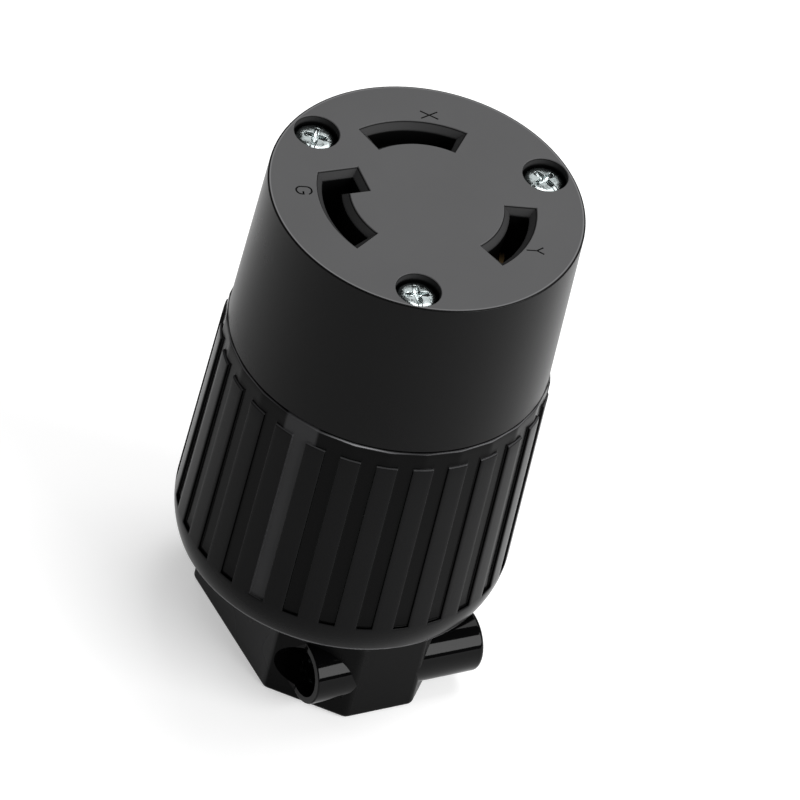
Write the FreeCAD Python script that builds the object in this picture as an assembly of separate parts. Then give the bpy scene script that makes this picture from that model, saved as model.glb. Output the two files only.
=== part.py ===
import FreeCAD, Part
import math
import os

from FreeCAD import Placement, Rotation, Vector

# Locking power connector on the end of a cord, all sizes in millimetres.
# +Z runs along the connector towards its slotted face, the origin is the middle
# of the neck's lower rim, and +X is the way the cord clamp's screws point.

# Stack of the outside, from the neck's rim up to the face
neck_height = 17.7
band_height = 5.8
groove_length = 34.9
collar_height = 3.2
housing_length = 30.7
joint_gap = 0.3

# Outside of the two mouldings: the face's radius, and how far each part below stands out
face_radius = 25.5
housing_step = 0.45
rib_step = 0.65
rib_foot_step = 0.5
band_round_inset = 1.35
rib_height = 0.5
rib_count = 28
groove_width = 2.5
rib_end_bevel = 0.3
collar_bevel = 0.45
face_edge_round = 0.25
pocket_edge_break = 0.15

# Walls
face_thickness = 4.0
housing_wall = 2.6
shell_wall = 2.0
shell_floor = 2.4
register_wall = 2.2
register_height = 3.0
register_clearance = 0.15
register_ledge = 3.0

# Neck: an octagon with four long sides and four cut corners
neck_width = 31.6
neck_depth = 45.6
neck_corner_cut = 9.85
neck_edge_round = 1.5
neck_rim_round = 0.8
neck_foot_round = 2.9
neck_wall = 2.2
neck_floor = 2.2

# Screw tubes of the cord clamp, one along each narrow end of the neck
tube_radius = 5.35
tube_bore_radius = 4.2
tube_height = 7.25
tube_mouth_x = -12.45
tube_end_x = 17.6
tube_end_wall = 1.2
tube_end_round = 0.8
tube_mouth_round = 0.25
clamp_seat_x = -5.5
clamp_seat_wall = 3.0

# Cord clamp: a fixed saddle in the neck and a jaw that the two screws pull to it
cord_radius = 8.75
cord_hole_radius = 9.9
saddle_lip_x = -3.5
saddle_half_width = 10.6
clamp_floor_gap = 0.3
clamp_height = 9.8
jaw_lip_x = 2.6
jaw_back_x = 11.4
jaw_half_width = 11.8
jaw_side_gap = 0.3
ear_start_x = 4.0
ear_length = 6.0
ear_clearance = 0.15
ear_web_height = 5.0
ear_web_gap = 0.5
grip_groove_depth = 0.6
grip_groove_height = 1.2
jaw_travel_in = 5.8
jaw_travel_out = 2.0

# Cord clamp screws and the threaded inserts that they turn in
clamp_screw_radius = 2.0
clamp_screw_length = 18.0
clamp_head_radius = 3.7
clamp_head_height = 2.6
clamp_insert_radius = 2.8
clamp_insert_length = 5.0
insert_flange_radius = 3.4
insert_flange_height = 0.8
thread_clearance = 0.06
screw_hole_clearance = 0.2

# Three screws that hold the two mouldings together, and their reach past the joint
screw_edge_distance = 4.3
screw_angle = {"a": 0.0, "b": 120.0, "c": 240.0}
assembly_screw_radius = 1.75
assembly_screw_reach = 7.2
assembly_head_radius = 3.3
assembly_head_height = 2.0
head_pocket_radius = 3.65
head_pocket_depth = 2.9
pillar_radius = 4.9
shell_boss_radius = 4.6
shell_boss_height = 17.6
assembly_insert_radius = 2.8
assembly_insert_length = 7.0
press_clearance = 0.02

# Blade slots in the face: the angles are the middle and the spread of each arc
blade_circle_radius = 15.03
slot_width = 3.15
slot_lead_in = 1.15
slot_middle_angle = {"x": 72.1, "y": -47.3, "ground": 174.2}
slot_spread_angle = {"x": 51.8, "y": 43.4, "ground": 52.4}
hook_width = 3.4
hook_inner_reach = 9.5
hook_offset = 6.0
hook_turn = -5.0
hook_side_angle = 180.0

# Pole marks cut into the face, all with their tops the same way: X and Y beside the
# line blades' slots, G beside the ground's
mark_angle = {"x": 62.6, "y": -52.3, "ground": 159.9}
mark_radius = {"x": 19.3, "y": 19.25, "ground": 19.8}
mark_width = {"x": 1.65, "y": 1.5, "ground": 2.0}
mark_height = 2.8
mark_stroke = 0.3
mark_depth = 0.2
mark_top_angle = -20.0

# Contact carrier
carrier_clearance = 0.3
carrier_foot_clearance = 0.35
carrier_foot_drop = 14.6
blade_depth = 18.5
chamber_width = 11.0
chamber_height = 11.0

# Blade contacts: two sprung leaves, a web, and a tail with the wire clamp
leaf_thickness = 0.8
blade_gap = 1.6
contact_web = 1.2
leaf_height = 9.5
leaf_end_gap = 2.0
leaf_slit_width = 0.7
leaf_slit_depth = 6.5
leaf_pocket_gap = 0.3
tail_width = 8.0
tail_thickness = 1.2
tail_offset = 1.87
tail_side_gap = 0.2
tail_lift = 1.2
terminal_angle = {"x": 60.0, "y": -60.0, "ground": hook_side_angle}
terminal_screw_lift = 5.6
terminal_screw_radius = 1.75
terminal_screw_length = 7.8
terminal_tip_gap = 0.1
terminal_head_radius = 3.3
terminal_head_height = 1.9
clamp_plate_width = 10.2
clamp_plate_height = 9.0
clamp_plate_thickness = 2.0
wire_gap = 3.2

# Every screw's head and tip, as shares of its own head or shank, and its cross recess
head_shoulder_share = 0.45
head_dome_reach_share = 0.78
head_dome_rise_share = 0.86
shank_tip_share = 0.3
cross_width = 0.9
cross_reach = 1.9
cross_depth = 1.1

# How far a cutting shape runs past the surface that it opens, and how near an edge's
# ends must be to a height to count as lying at it
cut_past = 1.0
level_tolerance = 1e-4

# Heights and radii that follow from the sizes above
groove_bottom_z = neck_height + band_height
rib_top_z = groove_bottom_z + groove_length
joint_z = rib_top_z + collar_height
face_z = joint_z + housing_length
plate_back_z = face_z - face_thickness
housing_base_radius = face_radius + housing_step
rib_top_radius = housing_base_radius + rib_step
rib_base_radius = rib_top_radius + rib_foot_step
shell_rim_radius = rib_base_radius - band_round_inset
screw_circle_radius = face_radius - screw_edge_distance
assembly_screw_length = housing_length - head_pocket_depth + assembly_screw_reach
register_top_z = joint_z + register_height
ledge_bottom_z = joint_z - register_ledge
cavity_radius = face_radius - housing_wall
register_radius = cavity_radius - register_clearance
register_inner_radius = register_radius - register_wall
carrier_foot_radius = register_inner_radius - carrier_foot_clearance
tail_radius = blade_circle_radius + tail_offset
tail_back_radius = tail_radius + tail_thickness
chamber_inner_radius = tail_back_radius - terminal_screw_length - terminal_tip_gap
shell_cavity_top_radius = rib_top_radius - rib_height - shell_wall
shell_cavity_base_radius = rib_base_radius - rib_height - shell_wall
shell_floor_z = neck_height + shell_floor
tube_axis_y = neck_depth / 2 - tube_radius
clamp_floor_z = neck_floor + clamp_floor_gap
carrier_foot_z = register_top_z - carrier_foot_drop
contact_base_z = face_z - blade_depth - contact_web
chamber_top_z = carrier_foot_z + chamber_height
terminal_screw_z = carrier_foot_z + terminal_screw_lift
inner_leaf_radius = blade_circle_radius - blade_gap / 2
outer_leaf_radius = blade_circle_radius + blade_gap / 2

up = Vector(0, 0, 1)
along_x = Vector(1, 0, 0)


def polar(radius, degrees, height):
    """The point at a radius and an angle about the connector's axis."""
    turn = math.radians(degrees)
    return Vector(radius * math.cos(turn), radius * math.sin(turn), height)


def rod(radius, start, length, direction=up):
    """A round bar from a point, along a direction."""
    return Part.makeCylinder(radius, length, start, direction)


def block(low, high):
    """A box between its lowest and its highest corner."""
    return Part.makeBox(high[0] - low[0], high[1] - low[1], high[2] - low[2], Vector(*low))


def turned(edges):
    """A solid spun about Z from the edges of a closed half profile."""
    wire = Part.Wire(Part.__sortEdges__(edges))
    return Part.Face(wire).revolve(Vector(0, 0, 0), up, 360)


def lines(points):
    """Straight edges through (radius, height) points in the XZ plane."""
    places = [Vector(radius, 0, height) for radius, height in points]
    return [Part.LineSegment(a, b).toShape() for a, b in zip(places, places[1:])]


def turned_lines(points):
    """A solid turned from a closed outline of (radius, height) points."""
    return turned(lines(points + points[:1]))


def about_z(shape, degrees):
    """A copy turned about the connector's axis."""
    copy = shape.copy()
    copy.rotate(Vector(0, 0, 0), up, degrees)
    return copy


def curved_outline(inner, outer, start, end, height):
    """A flat closed outline between two radii and two angles about the axis."""
    middle = (start + end) / 2
    outside = Part.Arc(*[polar(outer, angle, height) for angle in (start, middle, end)])
    inside = Part.Arc(*[polar(inner, angle, height) for angle in (end, middle, start)])
    near_end = Part.LineSegment(polar(outer, end, height), polar(inner, end, height))
    near_start = Part.LineSegment(polar(inner, start, height), polar(outer, start, height))
    return Part.Wire([edge.toShape() for edge in (outside, near_end, inside, near_start)])


def arc_bar(inner, outer, start, end, low, high):
    """A bar curved about the axis, between two angles and two heights."""
    return Part.Face(curved_outline(inner, outer, start, end, low)).extrude(Vector(0, 0, high - low))


def octagon(width, depth, corner_cut, low, high):
    """An upright prism: a rectangle with its four corners cut at 45 degrees."""
    x = width / 2
    y = depth / 2
    cut = corner_cut
    corners = [(x, y - cut), (x - cut, y), (cut - x, y), (-x, y - cut)]
    corners += [(-a, -b) for a, b in corners]
    points = [Vector(a, b, low) for a, b in corners]
    return Part.Face(Part.makePolygon(points + points[:1])).extrude(Vector(0, 0, high - low))


def pan_screw(shank_radius, length, head_radius, head_height):
    """A pan head screw: the head's seat is at height 0, the head above, the shank below."""
    shoulder = head_height * head_shoulder_share
    tip = shank_radius * shank_tip_share
    dome = Part.Arc(
        Vector(head_radius, 0, shoulder),
        Vector(head_radius * head_dome_reach_share, 0, head_height * head_dome_rise_share),
        Vector(0, 0, head_height),
    )
    outline = lines([
        (0, head_height),
        (0, -length),
        (shank_radius - tip, -length),
        (shank_radius, tip - length),
        (shank_radius, 0),
        (head_radius, 0),
        (head_radius, shoulder),
    ])
    screw = turned(outline + [dome.toShape()])
    half = cross_width / 2
    for reach_x, reach_y in ((cross_reach, half), (half, cross_reach)):
        low = (-reach_x, -reach_y, head_height - cross_depth)
        screw = screw.cut(block(low, (reach_x, reach_y, head_height + cut_past)))
    return screw


def threaded_insert(radius, length, bore):
    """A brass insert with a flange at height 0 and its body below."""
    body = rod(radius, Vector(0, 0, -length), length)
    flange = rod(insert_flange_radius, Vector(0, 0, -insert_flange_height), insert_flange_height)
    return body.fuse(flange).cut(rod(bore, Vector(0, 0, -length), length)).removeSplitter()


def placed(shape, position, direction):
    """A copy whose own +Z points along a direction, moved to a position."""
    copy = shape.copy()
    copy.Placement = Placement(position, Rotation(up, direction))
    return copy


def terminal(shape, key):
    """A piece made about the +X side, turned to the side of its own terminal."""
    return about_z(shape, terminal_angle[key])


def hooked_outline(inner, outer, end, grow, height):
    """The ground slot's outline: an arc whose near end hooks in towards the axis."""
    top = hook_offset + hook_width / 2 + grow
    bottom = hook_offset - hook_width / 2 - grow
    reach = grow - hook_inner_reach
    corners = [
        Vector(-math.sqrt(outer ** 2 - top ** 2), top, height),
        Vector(reach, top, height),
        Vector(reach, bottom, height),
        Vector(-math.sqrt(inner ** 2 - bottom ** 2), bottom, height),
    ]
    end -= hook_turn
    far = [polar(inner, end, height), polar(outer, end, height)]
    arcs = []
    for a, b, radius in ((far[0], corners[3], inner), (corners[0], far[1], outer)):
        turns = [math.degrees(math.atan2(point.y, point.x)) % 360 for point in (a, b)]
        arcs.append(Part.Arc(a, polar(radius, sum(turns) / 2, height), b).toShape())
    sides = [Part.LineSegment(a, b).toShape() for a, b in zip(corners, corners[1:])]
    last = Part.LineSegment(far[1], far[0]).toShape()
    wire = Part.Wire(Part.__sortEdges__(sides + arcs + [last]))
    wire.rotate(Vector(0, 0, 0), up, hook_turn)
    return wire


def hook_angle():
    """How far round from the ground slot's own axis its hook runs into the arc."""
    return math.degrees(math.asin((hook_offset - hook_width / 2) / inner_leaf_radius))


def slot_outline(key, grow, height):
    """One blade slot's outline at a height, its walls moved outwards by a distance."""
    inner = blade_circle_radius - slot_width / 2 - grow
    outer = blade_circle_radius + slot_width / 2 + grow
    spread = slot_spread_angle[key] / 2 + math.degrees(grow / blade_circle_radius)
    start = slot_middle_angle[key] - spread
    end = slot_middle_angle[key] + spread
    if key == "ground":
        return hooked_outline(inner, outer, end, grow, height)
    return curved_outline(inner, outer, start, end, height)


def slot_prism(key, grow, low, high):
    """The straight space of one blade slot between two heights."""
    return Part.Face(slot_outline(key, grow, low)).extrude(Vector(0, 0, high - low))


def edges_on(shape, height, reach):
    """The edges that lie at one height inside a radius."""
    found = []
    for edge in shape.Edges:
        box = edge.BoundBox
        if abs(box.ZMin - height) > level_tolerance or abs(box.ZMax - height) > level_tolerance:
            continue
        if all(math.hypot(v.X, v.Y) < reach for v in edge.Vertexes):
            found.append(edge)
    return found


def flared_slot(key):
    """A blade slot through the face, with its sloping lead-in all round the mouth."""
    throat_z = face_z - slot_lead_in
    straight = slot_prism(key, 0, plate_back_z - cut_past, face_z)
    mouth = [slot_outline(key, 0, throat_z), slot_outline(key, slot_lead_in, face_z)]
    return straight.fuse(Part.makeLoft(mouth, True, True))


def head_pocket():
    """The round pocket of the screw on the +X side, with its edge broken at the face."""
    pocket = rod(head_pocket_radius, Vector(0, 0, face_z - head_pocket_depth), head_pocket_depth)
    wide = head_pocket_radius + pocket_edge_break
    flare_z = Vector(0, 0, face_z - pocket_edge_break)
    flare = Part.makeCone(head_pocket_radius, wide, pocket_edge_break, flare_z)
    pocket = pocket.fuse(flare)
    pocket.translate(Vector(screw_circle_radius, 0, 0))
    return pocket


def mark_strokes(key):
    """A pole mark's straight strokes: ends in shares of its width and height from its middle."""
    if key == "x":
        return [((-0.5, -0.5), (0.5, 0.5)), ((-0.5, 0.5), (0.5, -0.5))]
    if key == "y":
        return [((0, -0.5), (0, 0.1)), ((0, 0.1), (-0.5, 0.5)), ((0, 0.1), (0.5, 0.5))]
    return [((0.1, -0.05), (0.5, -0.05))]


def upright_oval(half_width, half_height, low_z, length):
    """A round bar drawn out along Y: two rods with a block between them."""
    reach = half_height - half_width
    middle = block((-half_width, -reach, low_z), (half_width, reach, low_z + length))
    ends = [rod(half_width, Vector(0, side * reach, low_z), length) for side in (-1, 1)]
    return middle.fuse(ends)


def pole_mark(key):
    """The grooves of one pole mark, at its place on the face."""
    floor_z = face_z - mark_depth
    deep = mark_depth + cut_past
    width = mark_width[key]
    grooves = []
    for near, far in mark_strokes(key):
        start = Vector(near[0] * width, near[1] * mark_height, 0)
        along = Vector(far[0] * width, far[1] * mark_height, 0) - start
        stroke = block((0, -mark_stroke / 2, floor_z), (along.Length, mark_stroke / 2, floor_z + deep))
        turn = math.degrees(math.atan2(along.y, along.x))
        stroke.Placement = Placement(start, Rotation(up, turn))
        grooves.append(stroke)
    if key == "ground":
        half = mark_height / 2
        bowl = upright_oval(width / 2, half, floor_z, deep)
        bowl = bowl.cut(upright_oval(width / 2 - mark_stroke, half - mark_stroke, floor_z, deep))
        opening = block((0, -0.05 * mark_height, floor_z), (width, half / 2, floor_z + deep))
        grooves.append(bowl.cut(opening))
    mark = grooves[0].fuse(grooves[1:])
    mark.rotate(Vector(0, 0, 0), up, mark_top_angle - 90)
    mark.translate(polar(mark_radius[key], mark_angle[key], 0))
    return mark


def make_front_housing():
    """The moulded cup with the slotted face, its three screw pillars inside."""
    outside = turned_lines([
        (0, joint_z),
        (housing_base_radius - joint_gap, joint_z),
        (housing_base_radius - joint_gap, joint_z + joint_gap),
        (housing_base_radius, joint_z + joint_gap),
        (face_radius, face_z),
        (0, face_z),
    ])
    outside = outside.makeFillet(face_edge_round, edges_on(outside, face_z, face_radius + cut_past))
    body = outside
    for key in slot_middle_angle:
        body = body.cut(flared_slot(key)).cut(pole_mark(key))
    cavity = rod(cavity_radius, Vector(0, 0, joint_z), plate_back_z - joint_z)
    for angle in screw_angle.values():
        cavity = cavity.cut(rod(pillar_radius, polar(screw_circle_radius, angle, joint_z), housing_length))
    body = body.cut(cavity)
    for angle in screw_angle.values():
        hole = assembly_screw_radius + screw_hole_clearance
        body = body.cut(rod(hole, polar(screw_circle_radius, angle, joint_z), housing_length))
        body = body.cut(about_z(head_pocket(), angle))
    return body


def facet_reach(height):
    """How far the flat groove floors stand from the axis at a height."""
    share = (height - groove_bottom_z) / groove_length
    return rib_base_radius + (rib_top_radius - rib_base_radius) * share - rib_height


def make_shell_outside():
    """The ribbed barrel: a rounded band, flat-floored grooves and a faceted collar."""
    inset = rib_base_radius - shell_rim_radius
    round_radius = (band_height ** 2 + inset ** 2) / (2 * inset)
    half_turn = math.asin(band_height / round_radius) / 2
    bulge = Vector(
        rib_base_radius - round_radius * (1 - math.cos(half_turn)),
        0,
        groove_bottom_z - round_radius * math.sin(half_turn),
    )
    rim = Vector(shell_rim_radius, 0, neck_height)
    waist = Vector(rib_base_radius, 0, groove_bottom_z)
    outline = lines([
        (rib_base_radius, groove_bottom_z),
        (rib_top_radius + rib_foot_step * rib_end_bevel / groove_length, rib_top_z - rib_end_bevel),
        (rib_top_radius - rib_end_bevel, rib_top_z),
        (0, rib_top_z),
        (0, neck_height),
        (shell_rim_radius, neck_height),
    ])
    barrel = turned(outline + [Part.Arc(rim, bulge, waist).toShape()])
    low = facet_reach(groove_bottom_z)
    high = facet_reach(rib_top_z)
    floor_line = [
        Vector(low, -groove_width / 2, groove_bottom_z),
        Vector(high, -groove_width / 2, rib_top_z),
        Vector(rib_base_radius + cut_past, -groove_width / 2, rib_top_z),
        Vector(rib_base_radius + cut_past, -groove_width / 2, groove_bottom_z),
    ]
    cutter = Part.Face(Part.makePolygon(floor_line + floor_line[:1])).extrude(Vector(0, groove_width, 0))
    pitch = 360 / rib_count
    grooves = [about_z(cutter, pitch * (count + 0.5)) for count in range(rib_count)]
    barrel = barrel.cut(Part.makeCompound(grooves))
    corner = math.cos(math.radians(pitch / 2))
    rings = []
    for height, drawn_in in ((rib_top_z, 0), (joint_z - collar_bevel, 0), (joint_z, collar_bevel)):
        reach = (facet_reach(height) - drawn_in) / corner
        points = [polar(reach, pitch * count, height) for count in range(rib_count)]
        rings.append(Part.makePolygon(points + points[:1]))
    return barrel.fuse(Part.makeLoft(rings, True, True))


def make_neck_outside():
    """The octagonal neck with its rounded foot, and the two screw tubes across it."""
    neck = octagon(neck_width, neck_depth, neck_corner_cut, 0, neck_height)
    upright = [e for e in neck.Edges if e.BoundBox.ZLength > neck_height / 2]
    neck = neck.makeFillet(neck_edge_round, upright)
    neck = neck.makeFillet(neck_rim_round, edges_on(neck, 0, neck_depth))
    plate = rod(rib_base_radius + neck_foot_round * 2, Vector(0, 0, neck_height), shell_floor)
    neck = neck.fuse(plate)
    foot = edges_on(neck, neck_height, rib_base_radius + neck_foot_round)
    neck = neck.makeFillet(neck_foot_round, foot)
    neck = neck.common(rod(shell_rim_radius, Vector(0, 0, 0), neck_height + shell_floor))
    for side in (-1, 1):
        start = Vector(tube_mouth_x, side * tube_axis_y, tube_height)
        sleeve = rod(tube_radius, start, tube_end_x - tube_mouth_x, along_x)
        rims = [e for e in sleeve.Edges if e.BoundBox.XLength < tube_mouth_round]
        rims.sort(key=lambda e: e.BoundBox.XMin)
        sleeve = sleeve.makeFillet(tube_mouth_round, rims[:1])
        rims = [e for e in sleeve.Edges if e.BoundBox.XMin > tube_end_x - tube_mouth_round]
        neck = neck.fuse(sleeve.makeFillet(tube_end_round, rims))
    return neck


def make_rear_shell():
    """The back moulding: ribbed barrel, register, screw bosses, neck and fixed saddle."""
    body = make_shell_outside().fuse(make_neck_outside())
    register = rod(register_radius, Vector(0, 0, joint_z), register_height)
    for angle in screw_angle.values():
        gap = pillar_radius + register_clearance
        register = register.cut(rod(gap, polar(screw_circle_radius, angle, joint_z), register_height))
    body = body.fuse(register)
    cavity = turned_lines([
        (0, shell_floor_z),
        (shell_cavity_base_radius - shell_floor, shell_floor_z),
        (shell_cavity_base_radius, shell_floor_z + shell_floor),
        (shell_cavity_top_radius, ledge_bottom_z),
        (register_inner_radius, ledge_bottom_z),
        (register_inner_radius, register_top_z),
        (0, register_top_z),
    ])
    boss_z = joint_z - shell_boss_height
    for angle in screw_angle.values():
        foot = polar(screw_circle_radius, angle, boss_z)
        cavity = cavity.cut(rod(shell_boss_radius, foot, shell_boss_height))
    body = body.cut(cavity)
    insert_z = joint_z - assembly_insert_length
    flange_z = joint_z - insert_flange_height
    for angle in screw_angle.values():
        hole = assembly_screw_radius + screw_hole_clearance
        way = polar(screw_circle_radius, angle, boss_z - cut_past)
        body = body.cut(rod(hole, way, shell_boss_height + cut_past))
        seat = assembly_insert_radius + press_clearance
        body = body.cut(rod(seat, polar(screw_circle_radius, angle, insert_z), assembly_insert_length))
        flange = insert_flange_radius + press_clearance
        body = body.cut(rod(flange, polar(screw_circle_radius, angle, flange_z), insert_flange_height))
    return cut_neck_inside(body)


def cut_neck_inside(body):
    """Hollow the neck: the jaw's room, the cord hole, and the screws' bores."""
    half = neck_width / 2 - neck_wall
    side = jaw_half_width + jaw_side_gap
    room_top = shell_floor_z + cut_past
    saddle_top = clamp_floor_z + clamp_height
    room = block((-half, -side, neck_floor), (half, side, room_top))
    saddle = block((-half, -saddle_half_width, neck_floor), (saddle_lip_x, saddle_half_width, saddle_top))
    body = body.cut(room.cut(saddle.cut(grip_bore())))
    body = body.cut(rod(cord_hole_radius, Vector(0, 0, -cut_past), neck_floor + cut_past))
    for side_sign in (-1, 1):
        for space in screw_spaces():
            if side_sign < 0:
                space = space.mirror(Vector(0, 0, 0), Vector(0, 1, 0))
            body = body.cut(space)
    return body


def screw_spaces():
    """The clamp screw's spaces on the +Y side: its bores, and the ear's ways in."""
    seat_back_x = clamp_seat_x + clamp_seat_wall
    hole = clamp_screw_radius + screw_hole_clearance
    far_x = tube_end_x - tube_end_wall
    start = Vector(-neck_width, tube_axis_y, tube_height)
    way_in = rod(tube_bore_radius, start, neck_width + clamp_seat_x, along_x)
    start = Vector(clamp_seat_x - cut_past, tube_axis_y, tube_height)
    through = rod(hole, start, clamp_seat_wall + 2 * cut_past, along_x)
    start = Vector(seat_back_x, tube_axis_y, tube_height)
    slide = rod(tube_bore_radius, start, far_x - seat_back_x, along_x)
    web_half = ear_web_height / 2 + ear_web_gap
    near_y = jaw_half_width - ear_web_gap
    web_y = tube_axis_y - math.sqrt(tube_bore_radius ** 2 - web_half ** 2) + ear_web_gap
    web_x = ear_start_x + ear_length + jaw_travel_out + ear_web_gap
    web_low = tube_height - web_half
    passage = block((seat_back_x, near_y, web_low), (web_x, web_y, tube_height + web_half))
    drop_x = ear_start_x + ear_length - jaw_travel_in + ear_web_gap
    drop_y = tube_axis_y + tube_bore_radius
    drop = block((seat_back_x, near_y, tube_height), (drop_x, drop_y, shell_floor_z + cut_past))
    return way_in, through, slide, passage, drop


def grip_bore():
    """The cord's space between the jaws, with two grooves that leave gripping lands."""
    bore = rod(cord_radius, Vector(0, 0, 0), clamp_floor_z + clamp_height + cut_past)
    for share in (1 / 3, 2 / 3):
        middle = clamp_floor_z + clamp_height * share
        start = Vector(0, 0, middle - grip_groove_height / 2)
        bore = bore.fuse(rod(cord_radius + grip_groove_depth, start, grip_groove_height))
    return bore


def make_jaw():
    """The sliding jaw: a saddle across the neck with a round ear in each screw tube."""
    top = clamp_floor_z + clamp_height
    jaw = block((jaw_lip_x, -jaw_half_width, clamp_floor_z), (jaw_back_x, jaw_half_width, top))
    jaw = jaw.cut(grip_bore())
    ear_radius = tube_bore_radius - ear_clearance
    web = ear_web_height / 2
    ear_end = ear_start_x + ear_length
    reach = jaw_half_width - cut_past
    low_z = tube_height - web
    for side in (-1, 1):
        start = Vector(ear_start_x, side * tube_axis_y, tube_height)
        jaw = jaw.fuse(rod(ear_radius, start, ear_length, along_x))
        near, far = sorted((side * reach, side * tube_axis_y))
        jaw = jaw.fuse(block((ear_start_x, near, low_z), (ear_end, far, tube_height + web)))
    for side in (-1, 1):
        start = Vector(ear_start_x, side * tube_axis_y, tube_height)
        hole = clamp_screw_radius + screw_hole_clearance
        jaw = jaw.cut(rod(hole, start, ear_length, along_x))
        seat = Vector(ear_end - clamp_insert_length, side * tube_axis_y, tube_height)
        jaw = jaw.cut(rod(clamp_insert_radius + press_clearance, seat, clamp_insert_length, along_x))
        flange = Vector(ear_end - insert_flange_height, side * tube_axis_y, tube_height)
        jaw = jaw.cut(rod(insert_flange_radius + press_clearance, flange, insert_flange_height, along_x))
    return jaw.removeSplitter()


def make_carrier():
    """The insulating block that holds the three contacts behind the face."""
    head_height = plate_back_z - register_top_z
    head = rod(cavity_radius - carrier_clearance, Vector(0, 0, register_top_z), head_height)
    foot = rod(carrier_foot_radius, Vector(0, 0, carrier_foot_z), carrier_foot_drop)
    carrier = head.fuse(foot)
    length = plate_back_z - carrier_foot_z
    for angle in screw_angle.values():
        gap = pillar_radius + carrier_clearance
        carrier = carrier.cut(rod(gap, polar(screw_circle_radius, angle, carrier_foot_z), length))
    half = chamber_width / 2
    slot_half = tail_width / 2 + tail_side_gap
    slot_near = tail_radius - tail_side_gap
    slot_far = tail_back_radius + tail_side_gap
    for key in slot_middle_angle:
        carrier = carrier.cut(slot_prism(key, leaf_pocket_gap, contact_base_z, face_z))
        chamber = block((chamber_inner_radius, -half, carrier_foot_z), (slot_near, half, chamber_top_z))
        notch = block((blade_circle_radius, -slot_half, contact_base_z), (slot_far, slot_half, plate_back_z))
        way = block((slot_near, -slot_half, carrier_foot_z), (slot_far, slot_half, contact_base_z))
        window = block((slot_near, -slot_half, carrier_foot_z), (cavity_radius, slot_half, chamber_top_z))
        for space in (chamber, notch, way, window):
            carrier = carrier.cut(terminal(space, key))
    return carrier


def make_contact(key):
    """A female contact: two arcs of sprung leaf on a web, and a tail for the wire clamp."""
    half = slot_spread_angle[key] / 2 - leaf_end_gap
    start = slot_middle_angle[key] - half
    end = slot_middle_angle[key] + half
    if key == "ground":
        start = hook_side_angle + hook_turn - hook_angle() + leaf_end_gap
    top = contact_base_z + contact_web + leaf_height
    web_top = contact_base_z + contact_web
    inner_back = inner_leaf_radius - leaf_thickness
    outer_back = outer_leaf_radius + leaf_thickness
    body = arc_bar(inner_back, inner_leaf_radius, start, end, contact_base_z, top)
    body = body.fuse(arc_bar(outer_leaf_radius, outer_back, start, end, contact_base_z, top))
    body = body.fuse(arc_bar(inner_back, outer_back, start, end, contact_base_z, web_top))
    slit_half = leaf_slit_width / 2
    slit = block((0, -slit_half, top - leaf_slit_depth), (cavity_radius, slit_half, top))
    for share in (1 / 3, 2 / 3):
        body = body.cut(about_z(slit, start + (end - start) * share))
    wide = tail_width / 2
    shelf = block((blade_circle_radius, -wide, contact_base_z), (tail_back_radius, wide, web_top))
    tail = block((tail_radius, -wide, carrier_foot_z + tail_lift), (tail_back_radius, wide, web_top))
    hole = terminal_screw_radius + screw_hole_clearance
    bore = rod(hole, Vector(0, 0, terminal_screw_z), tail_back_radius + cut_past, along_x)
    tail = shelf.fuse(tail).cut(bore)
    return body.fuse(terminal(tail, key)).removeSplitter()


def make_clamp_plate(key):
    """The threaded plate that draws a conductor against the contact's tail."""
    outer = tail_radius - wire_gap
    half = clamp_plate_width / 2
    low_z = terminal_screw_z - clamp_plate_height / 2
    high_z = low_z + clamp_plate_height
    plate = block((outer - clamp_plate_thickness, -half, low_z), (outer, half, high_z))
    bore = terminal_screw_radius + thread_clearance
    hole = rod(bore, Vector(0, 0, terminal_screw_z), outer + cut_past, along_x)
    return terminal(plate.cut(hole), key)


def make_terminal_screw(key):
    """A wire clamp screw whose head bears on the outside of the contact's tail."""
    head = (terminal_head_radius, terminal_head_height)
    screw = pan_screw(terminal_screw_radius, terminal_screw_length, *head)
    seat = Vector(tail_back_radius, 0, terminal_screw_z)
    return terminal(placed(screw, seat, along_x), key)


def build():
    """Every piece of the connector, by the name of its node."""
    pieces = {
        "front_housing": make_front_housing(),
        "rear_shell": make_rear_shell(),
        "contact_carrier": make_carrier(),
        "cord_clamp_jaw": make_jaw(),
    }
    for key in slot_middle_angle:
        pieces["contact_" + key] = make_contact(key)
        pieces["clamp_plate_" + key] = make_clamp_plate(key)
        pieces["terminal_screw_" + key] = make_terminal_screw(key)
    head = (assembly_head_radius, assembly_head_height)
    screw = pan_screw(assembly_screw_radius, assembly_screw_length, *head)
    bore = assembly_screw_radius + thread_clearance
    insert = threaded_insert(assembly_insert_radius, assembly_insert_length, bore)
    for key, angle in screw_angle.items():
        seat = polar(screw_circle_radius, angle, face_z - head_pocket_depth)
        pieces["assembly_screw_" + key] = placed(about_z(screw, angle), seat, up)
        pieces["assembly_insert_" + key] = placed(insert, polar(screw_circle_radius, angle, joint_z), up)
    screw = pan_screw(clamp_screw_radius, clamp_screw_length, clamp_head_radius, clamp_head_height)
    bore = clamp_screw_radius + thread_clearance
    insert = threaded_insert(clamp_insert_radius, clamp_insert_length, bore)
    for name, side in (("front", -1), ("back", 1)):
        seat = Vector(clamp_seat_x, side * tube_axis_y, tube_height)
        pieces["clamp_screw_" + name] = placed(screw, seat, -along_x)
        end = Vector(ear_start_x + ear_length, side * tube_axis_y, tube_height)
        pieces["clamp_insert_" + name] = placed(insert, end, along_x)
    return pieces


os.makedirs("parts", exist_ok=True)
for node, shape in build().items():
    shape.exportStep("parts/" + node + ".step")
    print(node, len(shape.Solids), round(shape.Volume, 1), shape.isValid())
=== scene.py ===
import math

import bpy
import numpy as np
from mathutils import Matrix, Vector


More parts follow.
